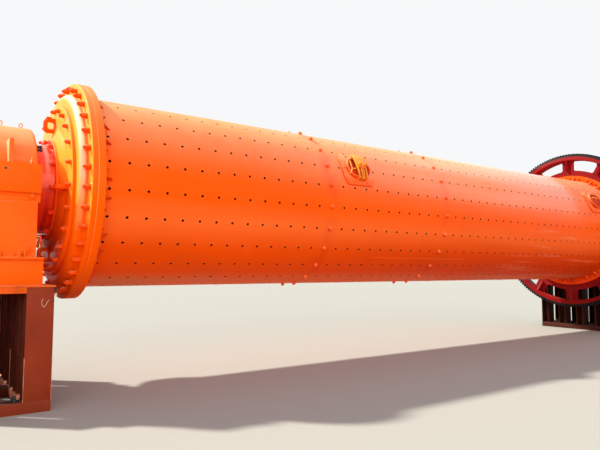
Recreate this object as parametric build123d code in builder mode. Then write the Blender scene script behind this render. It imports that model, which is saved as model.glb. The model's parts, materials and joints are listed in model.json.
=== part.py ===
"""Long tube mill on two steel stands: a bored drum with flanged ends, heads and
hollow trunnions turning in two capped bearings, driven by a split girth gear.
Millimetres. X runs along the drum, feed end at -X and gear end at +X, Z up."""
import os
from math import cos, pi, sin, sqrt

from build123d import *

os.makedirs("parts", exist_ok=True)

# Drum shell
axis_height = 2730
shell_inner_radius = 1300
shell_wall = 30
end_course_wall = 38
hole_pitch = 250
hole_columns = 52
hole_rows = 24
first_row_angle = -3.8
seam_columns = (8.5, 18.5, 28.5, 38.5)
end_course_column = 44.5

# Flanges of the shell
flange_radius = 1490
flange_thickness = 85
first_hole_to_flange = 85
gusset_pairs = 12
gusset_spread = 10
gusset_height = 120
gusset_length = 120
gusset_thickness = 25
gusset_root_gap = 1

# Heads
head_flange_thickness = 75
shoulder_radius = 1270
shoulder_depth = 190
shoulder_rounding = 30
head_wall = 60
head_bore_radius = 1000

# Trunnion carriers and their lifting lugs
carrier_flange_radius = 1170
carrier_flange_thickness = 40
cone_base_radius = 845
cone_tip_radius = 700
cone_depth = 55
carrier_wall = 60
carrier_bore_radius = 520
lug_count = 4
lug_thickness = 50
lug_reach = 150
lug_lift = 90
lug_width = 200
lug_corner = 60
lug_eye_length = 85
lug_eye_width = 100
lug_eye_rounding = 30
lug_eye_gap = 15

# Trunnions
trunnion_flange_radius = 700
trunnion_flange_thickness = 30
collar_radius = 600
collar_length = 185
journal_radius = 560
trunnion_bore_radius = 400
trunnion_overhang = 60

# Bearings
bearing_offset = 7415
bearing_length = 660
running_gap = 0.5
moving_gap = 5
bush_wall = 40
hood_radius = 800
hood_wall = 50
hood_rounding = 50
cap_half_width = 1000
cap_block_top = 180
cap_block_bottom = -170
cap_lip_bottom = -225
lip_half_width = 960
body_half_width = 985
body_lip_bottom = -280
body_setback = 30
foot_top = -940
foot_bottom = -970
foot_half_width = 1060
foot_overhang = 50
foot_rib_top = -850
foot_rib_pitch = 330
foot_rib_thickness = 20
hood_rib_thickness = 50
hood_rib_top = 480
hood_rib_reach = 930
hood_rib_draft = 30
seal_radius = 690
seal_thickness = 25

# Sole blocks and stands
sole_bottom = -1270
sole_half_width = 1020
stand_half_length = 507
stand_half_width = 1131
stand_rail_depth = 90
post_length = 300
post_width = 200
post_wall = 20
post_rows = 5
top_plate_thickness = 20
top_plate_overhang = 12
beam_setback = 15
sill_height = 130
anchor_hole_radius = 18
anchor_pitch = 240

# Girth gear
gear_module = 25
gear_teeth = 166
gear_face_width = 300
gear_front_overhang = 90
gear_rim_thickness = 115
gear_web_thickness = 60
gear_spokes = 12
spoke_width = 300
gear_hub_radius = 1640
gear_rib_thickness = 60
gear_rib_depth = 80
window_rounding_share = 0.217
window_lip = 12
rib_bite = 10
gear_dedendum = 1.25
tooth_tip_share = 0.36
tooth_root_share = 0.30

# Manholes
first_manhole_column = 16.5
second_manhole_column = 47.5
manhole_row = 2
manhole_length = 400
manhole_width = 290
pad_length = 650
pad_width = 600
pad_corner_length = 70
pad_corner_width = 120
pad_thickness = 30
cover_margin = 25
cover_thickness = 25
neck_gap = 4
neck_wall = 22
neck_height = 55
bow_foot_gap = 9
bow_rise = 115
bow_foot_height = 78
bow_foot_length = 30
bow_depth = 40
bow_width = 80
bow_cheek_thickness = 16
bow_pitch = 100
bow_clearance = 5
tie_thickness = 12
tie_reach = 80
tie_tip_height = 150

# Worked out from the sizes above
shell_radius = shell_inner_radius + shell_wall
end_course_radius = shell_inner_radius + end_course_wall
half_holes = (hole_columns - 1) * hole_pitch / 2
flange_face = half_holes + first_hole_to_flange
joint_face = flange_face + flange_thickness
head_flange_face = joint_face + head_flange_thickness
shoulder_face = joint_face + shoulder_depth
carrier_flange_face = shoulder_face + carrier_flange_thickness
cone_face = carrier_flange_face + cone_depth
trunnion_flange_face = cone_face + trunnion_flange_thickness
collar_face = trunnion_flange_face + collar_length
bearing_near = bearing_offset - bearing_length / 2
bearing_far = bearing_offset + bearing_length / 2
trunnion_end = bearing_far + trunnion_overhang
bush_outer_radius = journal_radius + running_gap + bush_wall
row_step = 360 / hole_rows
drum_axis = Axis((0, 0, axis_height), (1, 0, 0))
side_view = Plane(origin=(0, 0, axis_height), x_dir=(1, 0, 0), z_dir=(0, -1, 0))

ends = {"feed": -1, "discharge": 1}


def across(x, height=axis_height):
    """Plane across the drum at x: local x runs to the front, local y upwards."""
    return Plane(origin=(x, 0, height), x_dir=(0, -1, 0), z_dir=(-1, 0, 0))


def radial(x, radius, angle):
    """Plane standing on the drum at an angle up from the front horizontal."""
    a = angle * pi / 180
    outward = (0, -cos(a), sin(a))
    origin = (x, radius * outward[1], axis_height + radius * outward[2])
    return Plane(origin=origin, x_dir=(1, 0, 0), z_dir=outward)


def save(shape, name):
    shape.label = name
    export_step(shape, f"parts/{name}.step")


def column_x(column):
    return -half_holes + column * hole_pitch


def row_angle(row):
    """Rows are counted upwards from the one just under the front horizontal."""
    return first_row_angle + row * row_step


# Drum shell: rolled courses butted end to end, with the two manhole openings
manhole_angle = row_angle(manhole_row)
manhole_xs = [column_x(first_manhole_column), column_x(second_manhole_column)]
end_course_start = column_x(end_course_column)
seams = [column_x(seam_column) for seam_column in seam_columns]
course_ends = [-joint_face] + seams + [end_course_start]


def course(start, finish, radius):
    """One rolled course of the drum, bored where a manhole lies in it."""
    with BuildPart() as ring:
        with BuildSketch(across(start)):
            Circle(radius)
            Circle(shell_inner_radius, mode=Mode.SUBTRACT)
        extrude(amount=start - finish)
        for x in manhole_xs:
            if start < x < finish:
                with BuildSketch(radial(x, 0, manhole_angle)):
                    SlotOverall(manhole_length, manhole_width)
                extrude(amount=flange_radius, mode=Mode.SUBTRACT)
    return ring.part


for number, (start, finish) in enumerate(zip(course_ends, course_ends[1:]), 1):
    save(course(start, finish, shell_radius), f"shell_course_{number}")
save(course(end_course_start, joint_face, end_course_radius), "discharge_course")


def shell_flange(side):
    """Bolting ring shrunk on the shell end, stiffened by pairs of gussets."""
    seat = shell_radius if side < 0 else end_course_radius
    with BuildPart() as flange:
        with BuildSketch(across(side * flange_face)):
            Circle(flange_radius)
            Circle(seat, mode=Mode.SUBTRACT)
        extrude(amount=-side * flange_thickness)
        for pair in range(gusset_pairs):
            middle = first_row_angle + pair * 360 / gusset_pairs
            for turn in (-gusset_spread / 2, gusset_spread / 2):
                a = (middle + turn) * pi / 180
                outward = (0, -cos(a), sin(a))
                blade = Plane(origin=(side * flange_face, 0, axis_height), x_dir=(-side, 0, 0),
                              z_dir=Vector(-side, 0, 0).cross(Vector(outward)))
                with BuildSketch(blade):
                    with BuildLine():
                        root = seat + gusset_root_gap
                        Polyline((-flange_thickness / 2, root), (gusset_length, root),
                                 (0, seat + gusset_height), (-flange_thickness / 2, seat + gusset_height),
                                 close=True)
                    make_face()
                extrude(amount=gusset_thickness / 2, both=True)
    return flange.part


def head(side):
    """Flanged end ring of the drum with its rounded shoulder and flat face."""
    hub = gear_web_thickness if side > 0 else 0
    x0 = side * (joint_face + hub)
    x1 = side * (head_flange_face + hub)
    x2 = side * shoulder_face
    x3 = side * (shoulder_face - head_wall)
    inner = shoulder_radius - head_wall
    with BuildPart() as ring:
        with BuildSketch(side_view) as profile:
            with BuildLine():
                Polyline((x0, inner), (x0, flange_radius), (x1, flange_radius), (x1, shoulder_radius),
                         (x2, shoulder_radius), (x2, head_bore_radius), (x3, head_bore_radius),
                         (x3, inner), close=True)
            make_face()
            outermost = profile.vertices().group_by(Axis.X)[0 if side < 0 else -1]
            fillet(outermost.sort_by(Axis.Y)[-1], shoulder_rounding)
        revolve(axis=drum_axis)
    return ring.part


def carrier(side):
    """Flat ring of the trunnion carrier, bolted on the head."""
    with BuildPart() as ring:
        with BuildSketch(across(side * shoulder_face)):
            Circle(carrier_flange_radius)
            Circle(cone_base_radius, mode=Mode.SUBTRACT)
        extrude(amount=-side * carrier_flange_thickness)
    return ring.part


def carrier_cone(side):
    """Flat cone of the trunnion carrier, with the seat of the trunnion."""
    x0 = side * shoulder_face
    x1 = side * carrier_flange_face
    x2 = side * cone_face
    x3 = side * (cone_face - carrier_wall)
    with BuildPart() as cone:
        with BuildSketch(side_view):
            with BuildLine():
                Polyline((x0, cone_base_radius - carrier_wall), (x0, cone_base_radius),
                         (x1, cone_base_radius), (x2, cone_tip_radius),
                         (x2, carrier_bore_radius), (x3, carrier_bore_radius),
                         (x3, cone_tip_radius - carrier_wall), close=True)
            make_face()
        revolve(axis=drum_axis)
    return cone.part


def lugs(side):
    """Lifting lugs: D-shaped plates with an eye, standing on the carrier."""
    low = cone_tip_radius + lug_lift
    high = low + lug_width
    middle = (low + high) / 2
    tip = side * (carrier_flange_face + lug_reach)
    root = side * (carrier_flange_face - carrier_flange_thickness / 2)
    eye_x = side * (carrier_flange_face + lug_eye_gap + lug_eye_length / 2)
    with BuildPart() as plates:
        for lug in range(lug_count):
            a = (first_row_angle + lug * 360 / lug_count) * pi / 180
            outward = (0, -cos(a), sin(a))
            blade = Plane(origin=(0, 0, axis_height), x_dir=(1, 0, 0),
                          z_dir=Vector(1, 0, 0).cross(Vector(outward)))
            with BuildSketch(blade):
                with BuildLine() as outline:
                    Polyline((root, low), (tip, low), (tip, high), (root, high), close=True)
                    corners = outline.vertices().group_by(Axis((0, 0, 0), (side, 0, 0)))[-1]
                    fillet(corners, lug_corner)
                make_face()
                with Locations((eye_x, middle)):
                    RectangleRounded(lug_eye_length, lug_eye_width, lug_eye_rounding, mode=Mode.SUBTRACT)
            extrude(amount=lug_thickness / 2, both=True)
        add(carrier(side), mode=Mode.SUBTRACT)
        add(carrier_cone(side), mode=Mode.SUBTRACT)
    return plates.part


def trunnion(side):
    """Hollow shaft: bolted flange, collar and the journal that the bearing carries."""
    x0 = side * cone_face
    x1 = side * trunnion_flange_face
    x2 = side * collar_face
    x3 = side * trunnion_end
    with BuildPart() as shaft:
        with BuildSketch(side_view):
            with BuildLine():
                Polyline((x0, trunnion_bore_radius), (x0, trunnion_flange_radius),
                         (x1, trunnion_flange_radius), (x1, collar_radius),
                         (x2, collar_radius), (x2, journal_radius),
                         (x3, journal_radius), (x3, trunnion_bore_radius), close=True)
            make_face()
        revolve(axis=drum_axis)
    return shaft.part


def bearing_cap(side):
    """Arched cap over the journal, open below, with flat blocks along both sides."""
    cavity = hood_radius - hood_wall
    mouth = journal_radius + 2 * moving_gap
    x0 = side * bearing_near
    with BuildPart() as cap:
        with BuildSketch(across(x0)):
            with BuildLine():
                Line((-hood_radius, 0), (-hood_radius, cap_lip_bottom))
                Line((-hood_radius, cap_lip_bottom), (hood_radius, cap_lip_bottom))
                Line((hood_radius, cap_lip_bottom), (hood_radius, 0))
                ThreePointArc((hood_radius, 0), (0, hood_radius), (-hood_radius, 0))
            make_face()
        extrude(amount=-side * bearing_length)
        fillet(cap.edges().filter_by(GeomType.CIRCLE), hood_rounding)
        with BuildSketch(across(x0)):
            for hand in (-1, 1):
                with Locations((hand * (hood_radius + cap_half_width) / 2 - hand * hood_wall / 2,
                                (cap_block_top + cap_block_bottom) / 2)):
                    Rectangle(cap_half_width - hood_radius + hood_wall, cap_block_top - cap_block_bottom)
                with Locations((hand * (hood_radius + lip_half_width) / 2 - hand * hood_wall / 2,
                                (cap_block_bottom + cap_lip_bottom) / 2)):
                    Rectangle(lip_half_width - hood_radius + hood_wall, cap_block_bottom - cap_lip_bottom)
        extrude(amount=-side * bearing_length)
        with BuildSketch(across(side * bearing_offset)):
            bite = hood_radius - hood_wall / 2
            foot_y = sqrt(bite ** 2 - cap_block_top ** 2)
            top_y = sqrt(bite ** 2 - hood_rib_top ** 2)
            for hand in (-1, 1):
                with BuildLine():
                    Polyline((hand * foot_y, cap_block_top), (hand * hood_rib_reach, cap_block_top),
                             (hand * (hood_rib_reach - hood_rib_draft), hood_rib_top),
                             (hand * top_y, hood_rib_top), close=True)
                make_face()
        extrude(amount=hood_rib_thickness / 2, both=True)
        with BuildSketch(across(side * (bearing_near + hood_wall))):
            Circle(cavity)
            with Locations((0, cap_lip_bottom / 2)):
                Rectangle(2 * cavity, -cap_lip_bottom)
        extrude(amount=-side * (bearing_length - 2 * hood_wall), mode=Mode.SUBTRACT)
        with BuildSketch(across(x0)):
            Circle(mouth)
            with Locations((0, cap_lip_bottom / 2)):
                Rectangle(2 * mouth, -cap_lip_bottom)
        extrude(amount=-side * bearing_length, mode=Mode.SUBTRACT)
        with BuildSketch(Plane.XY.offset(axis_height + cap_lip_bottom - hood_radius)):
            with Locations((side * bearing_offset, 0)):
                Rectangle(2 * bearing_length, 4 * hood_radius)
        extrude(amount=hood_radius, mode=Mode.SUBTRACT)
    return cap.part


def bearing_body(side):
    """Lower half of the bearing with its trough, its foot and the ribs on the foot."""
    x0 = side * bearing_near
    length = bearing_length
    with BuildPart() as body:
        with BuildSketch(across(x0)):
            with Locations((0, (cap_lip_bottom + body_lip_bottom) / 2)):
                Rectangle(2 * lip_half_width, cap_lip_bottom - body_lip_bottom)
        extrude(amount=-side * length)
        with BuildSketch(across(side * (bearing_near + body_setback))):
            with Locations((0, (body_lip_bottom + foot_bottom) / 2)):
                Rectangle(2 * body_half_width, body_lip_bottom - foot_bottom)
        extrude(amount=-side * (length - 2 * body_setback))
        with BuildSketch(Plane.XY.offset(axis_height + foot_bottom)):
            with Locations((side * bearing_offset, 0)):
                Rectangle(length + 2 * foot_overhang, 2 * foot_half_width)
        extrude(amount=foot_top - foot_bottom)
        with BuildSketch(Plane.XY.offset(axis_height + foot_bottom)):
            with Locations((side * bearing_offset, 0)):
                with GridLocations(foot_rib_pitch, 0, 2, 1):
                    Rectangle(foot_rib_thickness, 2 * foot_half_width)
        extrude(amount=foot_rib_top - foot_bottom)
        with BuildSketch(across(x0)):
            Circle(bush_outer_radius)
            with Locations((0, axis_height)):
                Rectangle(2 * bush_outer_radius, 2 * axis_height)
        extrude(amount=-side * length, mode=Mode.SUBTRACT)
    return body.part


def bush(side):
    """Lower half bush that carries the journal."""
    with BuildPart() as half:
        with BuildSketch(across(side * bearing_near)):
            Circle(bush_outer_radius)
            Circle(journal_radius + running_gap, mode=Mode.SUBTRACT)
            with Locations((0, cap_lip_bottom + bush_outer_radius)):
                Rectangle(2 * bush_outer_radius, 2 * bush_outer_radius, mode=Mode.SUBTRACT)
        extrude(amount=-side * bearing_length)
    return half.part


def seal_ring(side):
    """End ring around the journal, on the drum side of the bearing."""
    with BuildPart() as ring:
        with BuildSketch(across(side * bearing_near)):
            Circle(seal_radius)
            Circle(journal_radius + moving_gap, mode=Mode.SUBTRACT)
        extrude(amount=side * seal_thickness)
    return ring.part


def sole_block(side):
    """Block between the bearing foot and the stand."""
    with BuildPart() as block:
        with BuildSketch(Plane.XY.offset(axis_height + sole_bottom)):
            with Locations((side * bearing_offset, 0)):
                Rectangle(bearing_length + 2 * foot_overhang, 2 * sole_half_width)
        extrude(amount=foot_bottom - sole_bottom)
    return block.part


stand_top = axis_height + sole_bottom
frame_half_length = stand_half_length - top_plate_overhang
frame_half_width = stand_half_width - top_plate_overhang
post_x = frame_half_length - post_length / 2
outer_post_y = frame_half_width - post_width / 2
post_places = [(hand * post_x, outer_post_y * (1 - 2 * row / (post_rows - 1)))
               for row in range(post_rows) for hand in (-1, 1)]


def stand_sill(side):
    """Bottom frame of a stand: two long sills and a cross bar under each post row."""
    with BuildPart() as sill:
        with BuildSketch(Plane.XY):
            with Locations((side * bearing_offset, 0)):
                Rectangle(2 * frame_half_length, 2 * frame_half_width)
                Rectangle(2 * (frame_half_length - post_length), 2 * (frame_half_width - post_width),
                          mode=Mode.SUBTRACT)
                with GridLocations(anchor_pitch, 2 * outer_post_y, 2, 2):
                    Circle(anchor_hole_radius, mode=Mode.SUBTRACT)
        extrude(amount=sill_height)
    return sill.part


def stand_posts(side):
    """Posts of a stand: H-sections from the sill to the top plates, broad side to the front."""
    flange_y = (post_width - post_wall) / 2
    with BuildPart() as posts:
        with BuildSketch(Plane.XY.offset(sill_height)):
            with Locations((side * bearing_offset, 0)):
                with Locations(*post_places):
                    Rectangle(post_wall, post_width)
                    with Locations((0, flange_y), (0, -flange_y)):
                        Rectangle(post_length, post_wall)
        extrude(amount=stand_top - top_plate_thickness - sill_height)
    return posts.part


def stand_rails(side):
    """Top frame of a stand: plates over the posts and beams between the posts."""
    with BuildPart() as rails:
        with BuildSketch(Plane.XY.offset(stand_top - top_plate_thickness)):
            with Locations((side * bearing_offset, 0)):
                Rectangle(2 * stand_half_length, 2 * stand_half_width)
                Rectangle(2 * (frame_half_length - post_length), 2 * (frame_half_width - post_width),
                          mode=Mode.SUBTRACT)
        extrude(amount=top_plate_thickness)
        with BuildSketch(Plane.XY.offset(stand_top - stand_rail_depth)):
            with Locations((side * bearing_offset, 0)):
                Rectangle(2 * frame_half_length, 2 * frame_half_width)
                Rectangle(2 * (frame_half_length - post_length + beam_setback),
                          2 * (frame_half_width - post_width + beam_setback), mode=Mode.SUBTRACT)
                with Locations(*post_places):
                    Rectangle(post_length, post_width, mode=Mode.SUBTRACT)
        extrude(amount=stand_rail_depth - top_plate_thickness)
    return rails.part


for end, side in ends.items():
    save(shell_flange(side), f"{end}_shell_flange")
    save(head(side), f"{end}_head")
    save(carrier(side), f"{end}_carrier")
    save(carrier_cone(side), f"{end}_carrier_cone")
    save(lugs(side), f"{end}_lifting_lugs")
    save(trunnion(side), f"{end}_trunnion")
    save(bearing_cap(side), f"{end}_bearing_cap")
    save(bearing_body(side), f"{end}_bearing_body")
    save(bush(side), f"{end}_bush")
    save(seal_ring(side), f"{end}_seal_ring")
    save(sole_block(side), f"{end}_sole_block")
    save(stand_sill(side), f"{end}_stand_sill")
    save(stand_posts(side), f"{end}_stand_posts")
    save(stand_rails(side), f"{end}_stand_rails")

# Girth gear in two halves, split through two opposite spokes
pitch_radius = gear_module * gear_teeth / 2
tip_radius = pitch_radius + gear_module
root_radius = pitch_radius - gear_dedendum * gear_module
rim_inner_radius = root_radius - gear_rim_thickness
window_outer_radius = rim_inner_radius - window_lip
web_outer_radius = rim_inner_radius + rib_bite
gear_front = joint_face - gear_front_overhang
tooth_step = 2 * pi / gear_teeth
spoke_step = 2 * pi / gear_spokes


def polar(radius, turn):
    """Point of a plane across the drum, by its radius and its turn in radians."""
    return (radius * cos(turn), radius * sin(turn))


def tooth_outline(first_turn):
    """Outer points of half the gear, counted from the split line."""
    points = []
    for tooth in range(gear_teeth // 2):
        middle = first_turn + (tooth + 0.5) * tooth_step
        half_root = tooth_step * (1 - tooth_root_share) / 2
        half_tip = tooth_step * tooth_tip_share / 2
        points += [polar(root_radius, middle - half_root), polar(tip_radius, middle - half_tip),
                   polar(tip_radius, middle + half_tip), polar(root_radius, middle + half_root)]
    return points


def window(middle):
    """Rounded opening of the web around a middle direction."""
    outer_turn = (spoke_step - spoke_width / window_outer_radius) / 2
    inner_turn = (spoke_step - spoke_width / gear_hub_radius) / 2
    outer = [polar(window_outer_radius, middle + hand * outer_turn) for hand in (-1, 0, 1)]
    inner = [polar(gear_hub_radius, middle + hand * inner_turn) for hand in (1, 0, -1)]
    with BuildSketch() as opening:
        with BuildLine():
            ThreePointArc(*outer)
            Line(outer[2], inner[0])
            ThreePointArc(*inner)
            Line(inner[2], outer[0])
        make_face()
        fillet(opening.vertices(), window_rounding_share * (window_outer_radius - gear_hub_radius))
    return opening.sketch


windows = [window((number + 0.5) * spoke_step) for number in range(gear_spokes)]


def gear_half(hand):
    """Half gear: toothed rim, web with rounded windows, ribs and hub ring."""
    first_turn = 0 if hand > 0 else pi
    begin = polar(rim_inner_radius, first_turn)
    finish = polar(rim_inner_radius, first_turn + pi)
    rib_length = web_outer_radius - gear_hub_radius
    back = joint_face + gear_web_thickness
    with BuildPart() as half:
        with BuildSketch(across(gear_front)):
            with BuildLine():
                Polyline(begin, polar(root_radius, first_turn), *tooth_outline(first_turn),
                         polar(root_radius, first_turn + pi), finish)
                ThreePointArc(finish, polar(rim_inner_radius, first_turn + pi / 2), begin)
            make_face()
        extrude(amount=-gear_face_width)
        with BuildSketch(across(joint_face)):
            Circle(web_outer_radius)
            Circle(shell_radius, mode=Mode.SUBTRACT)
            for opening in windows:
                add(opening, mode=Mode.SUBTRACT)
            with Locations((0, hand * tip_radius)):
                Rectangle(2 * tip_radius, 2 * tip_radius, mode=Mode.INTERSECT)
        extrude(amount=-gear_web_thickness)
        for face_x, depth in ((joint_face, gear_rib_depth), (back, -gear_rib_depth)):
            with BuildSketch(across(face_x)):
                with PolarLocations(gear_hub_radius + rib_length / 2, gear_spokes):
                    Rectangle(rib_length, gear_rib_thickness)
                with Locations((0, hand * tip_radius)):
                    Rectangle(2 * tip_radius, 2 * tip_radius, mode=Mode.INTERSECT)
            extrude(amount=depth)
    return half.part


save(gear_half(1), "girth_gear_upper")
save(gear_half(-1), "girth_gear_lower")


neck_inside = cover_margin + neck_gap
neck_outside = neck_inside + neck_wall
bow_inner_half = manhole_width / 2 + neck_outside + bow_foot_gap
bow_half = bow_inner_half + bow_foot_length


def oval(growth, mode=Mode.ADD):
    """Outline of the manhole, grown all round."""
    SlotOverall(manhole_length + 2 * growth, manhole_width + 2 * growth, mode=mode)


def manhole(index):
    """Pad, neck and cover of one manhole."""
    seat = (shell_radius, end_course_radius)[index]
    base = seat + pad_thickness
    x = manhole_xs[index]
    a = pad_length / 2
    b = pad_width / 2
    with BuildPart() as pad:
        with BuildSketch(radial(x, 0, manhole_angle)):
            with BuildLine():
                Polyline((-a, b - pad_corner_width), (-a, pad_corner_width - b), (pad_corner_length - a, -b),
                         (a - pad_corner_length, -b), (a, pad_corner_width - b), (a, b - pad_corner_width),
                         (a - pad_corner_length, b), (pad_corner_length - a, b), close=True)
            make_face()
            SlotOverall(manhole_length, manhole_width, mode=Mode.SUBTRACT)
        extrude(amount=flange_radius)
        with BuildSketch(across(x - pad_length)):
            Circle(base)
            Circle(seat, mode=Mode.SUBTRACT)
        extrude(amount=-2 * pad_length, mode=Mode.INTERSECT)
    with BuildPart() as neck:
        with BuildSketch(radial(x, 0, manhole_angle)):
            oval(neck_outside)
            oval(neck_inside, Mode.SUBTRACT)
        extrude(amount=flange_radius)
        with BuildSketch(across(x - pad_length)):
            Circle(base + neck_height)
            Circle(base, mode=Mode.SUBTRACT)
        extrude(amount=-2 * pad_length, mode=Mode.INTERSECT)
    with BuildPart() as cover:
        with BuildSketch(radial(x, 0, manhole_angle)):
            oval(cover_margin)
        extrude(amount=flange_radius)
        with BuildSketch(across(x - pad_length)):
            Circle(base + cover_thickness)
            Circle(base, mode=Mode.SUBTRACT)
        extrude(amount=-2 * pad_length, mode=Mode.INTERSECT)
    return pad.part, neck.part, cover.part


def bow_profile(base, depth):
    """Arch across the drum over the cover, facing along local x, its feet reaching into the pad."""
    foot = base - pad_thickness
    eaves = base + bow_foot_height
    half = bow_half
    inner = bow_inner_half
    with BuildSketch() as profile:
        with BuildLine():
            Polyline((eaves, -half), (foot, -half), (foot, half), (eaves, half))
            ThreePointArc((eaves, half), (base + bow_rise, 0), (eaves, -half))
        make_face()
        with BuildLine():
            low = base + neck_height + bow_clearance
            Polyline((low, -inner), (0, -inner), (0, inner), (low, inner))
            ThreePointArc((low, inner), (base + bow_rise - depth, 0), (low, -inner))
        make_face(mode=Mode.SUBTRACT)
    return profile.sketch


def bridges(x, base):
    """Two arched bows of twin cheeks over the neck, tied by a plate over their upper feet."""
    left = -(bow_pitch + bow_width) / 2
    right = (bow_pitch + bow_width) / 2 + tie_reach
    with BuildPart() as tie:
        with BuildSketch(radial(x, 0, manhole_angle)):
            with BuildLine():
                Polyline((left, bow_half), (right, bow_half), (right, tie_tip_height),
                         (left + bow_width, 0), (left, 0), close=True)
            make_face()
        extrude(amount=flange_radius)
        with BuildSketch(across(x - pad_length)):
            with Locations(Rotation(0, 0, manhole_angle)):
                add(bow_profile(base, tie_thickness))
        extrude(amount=-2 * pad_length, mode=Mode.INTERSECT)
    with BuildPart() as bows:
        with BuildSketch(radial(x, 0, manhole_angle)):
            for bow in (-bow_pitch / 2, bow_pitch / 2):
                for hand in (-1, 1):
                    with Locations((bow + hand * (bow_width - bow_cheek_thickness) / 2, 0)):
                        Rectangle(bow_cheek_thickness, 2 * bow_half)
        extrude(amount=flange_radius)
        with BuildSketch(across(x - pad_length)):
            with Locations(Rotation(0, 0, manhole_angle)):
                add(bow_profile(base, bow_depth))
        extrude(amount=-2 * pad_length, mode=Mode.INTERSECT)
        add(tie.part)
        with BuildSketch(across(x - pad_length)):
            Circle(base)
        extrude(amount=-2 * pad_length, mode=Mode.SUBTRACT)
    return bows.part


for index, name in enumerate(("manhole_1", "manhole_2")):
    pad, neck, cover = manhole(index)
    save(pad, f"{name}_pad")
    save(neck, f"{name}_neck")
    save(cover, f"{name}_cover")
save(bridges(manhole_xs[0], shell_radius + pad_thickness), "manhole_1_bridges")
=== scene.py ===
"""Long grinding mill: drilled drum, flanged heads, capped bearings, girth gear, two stands.
Metres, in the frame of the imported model: X along the drum, Y to the back, Z up."""
import json
from functools import partial
from math import cos, degrees, hypot, pi, radians, sin, sqrt

import bmesh
import bpy
from mathutils import Matrix, Vector


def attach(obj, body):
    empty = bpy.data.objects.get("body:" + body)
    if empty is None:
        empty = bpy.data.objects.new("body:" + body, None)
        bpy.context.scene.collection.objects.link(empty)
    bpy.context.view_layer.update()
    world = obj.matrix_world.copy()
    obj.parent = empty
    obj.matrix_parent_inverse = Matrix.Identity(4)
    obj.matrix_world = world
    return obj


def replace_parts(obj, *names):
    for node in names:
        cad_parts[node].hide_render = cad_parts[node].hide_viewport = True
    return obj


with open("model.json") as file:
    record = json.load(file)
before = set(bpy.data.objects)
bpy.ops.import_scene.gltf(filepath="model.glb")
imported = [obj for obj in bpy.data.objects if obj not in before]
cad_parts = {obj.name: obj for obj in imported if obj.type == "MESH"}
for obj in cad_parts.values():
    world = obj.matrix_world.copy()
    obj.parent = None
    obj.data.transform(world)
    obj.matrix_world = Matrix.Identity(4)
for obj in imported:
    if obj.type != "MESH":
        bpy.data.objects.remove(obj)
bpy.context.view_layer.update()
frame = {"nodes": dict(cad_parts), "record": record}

# Sizes shared with the CAD model
AXIS = 2.730
SHELL_INSIDE = 1.300
SHELL_RADIUS = 1.330
END_COURSE_RADIUS = 1.338
HOLE_PITCH = 0.250
HOLE_COLUMNS = 52
HOLE_ROWS = 24
FIRST_ROW = -3.8
SEAM_COLUMNS = (8.5, 18.5, 28.5, 38.5)
END_COURSE_COLUMN = 44.5
FLANGE_FACE = 6.460
JOINT_FACE = 6.545
HEAD_FLANGE_FACE = 6.620
SHOULDER_FACE = 6.735
CARRIER_FACE = 6.775
TRUNNION_FLANGE_FACE = 6.860
HEAD_BORE = 1.000
HEAD_WALL = 0.060
SHOULDER_RADIUS = 1.335
CONE_BASE_RADIUS = 0.845
BEARING_NEAR = 7.085
BEARING_MIDDLE = 7.415
BEARING_SIDE = 1.000
BLOCK_TOP = AXIS + 0.180
LIP_FACE = 0.960
FOOT_TOP = AXIS - 0.940
HOOD_TOP = AXIS + 0.800
FLANGE_RADIUS = 1.490
GEAR_WEB = 0.060
STAND_TOP = 1.460
SOLE_X = 0.380
SOLE_Y = 1.020
POST_Y = 1.019
POST_X = 0.345
POST_LENGTH = 0.300
POST_WIDTH = 0.200
POST_ROWS = 5
SILL_TOP = 0.130
MANHOLE_ROW = 2
MANHOLE_COLUMNS = (16.5, 47.5)
PAD_THICKNESS = 0.030
ENDS = {"feed": -1, "discharge": 1}

# Sizes of the shapes and fittings made here
HOLE_RADIUS = 0.0185
CELL_STRIP = 2.5
LIP = 0.013
SHOULDER_ROUND = 0.100
SHOULDER_FILLET = 0.012
DIAPHRAGM_COLUMNS = (14, 25)
OUTER_BOLTS = 36
OUTER_BOLT_RADIUS = 1.400
INNER_BOLTS = 24
INNER_BOLT_RADIUS = 1.090
INNER_BOLT_ANGLE = -2.3
TRUNNION_BOLTS = 12
TRUNNION_BOLT_RADIUS = 0.650
TRUNNION_BOLT_ANGLE = -3.3
SEAL_BOLTS = 12
SEAL_BOLT_RADIUS = 0.655
SEAL_BOLT_ANGLE = 15
SEAM_BEAD_WIDTH = 0.022
SEAM_BEAD_HEIGHT = 0.004
PLATE_BEAD_RADIUS = 0.008
PLATE_BEAD_GAP = 0.020
LAST_COURSE_SHADOW_EDGE = (4.40, 4.80)
PROBE_RADIUS = 0.765
PROBE_ANGLE = 37.5
BOW_RISE = 0.115
BOW_PLACES = (-0.050, 0.050)
PAD_BOLT_PLACES = ((-0.285, 0.0), (0.285, 0.0), (-0.150, 0.255), (0.150, 0.255), (-0.150, -0.255),
                   (0.150, -0.255))
SPLIT_BOLT_RADII = (1.70, 1.80, 1.89)
SPLIT_BOLT_X = (6.503, 6.647)
SPLIT_RIB = 0.030

# Places of the bearings' fittings: along from the bearing's middle, out to a side, and up
HOOD_BOLT_AT = (0.240, 0.905, BLOCK_TOP)
LIP_BOLT_AT = (0.235, LIP_FACE, AXIS - 0.210)
FOOT_BOLT_AT = (0.105, 1.022, FOOT_TOP)
ANCHOR_NUT_AT = (0.120, POST_Y, SILL_TOP)
TAPPED_HOLE_AT = (0.063, BEARING_SIDE, AXIS + 0.099)
JACKING_LUG_AT = (-0.230, 0.999, AXIS - 0.845)
HOOD_EYE_X = (0.025, -0.220)
DRAIN_OUTLET = (BEARING_NEAR + 0.030, -0.860, AXIS - 0.690)
STAND_SCREW = Vector((-6.903, -1.120, STAND_TOP))
CHALK_PLACE = Vector((-7.013, -1.1192, 1.262))

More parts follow.
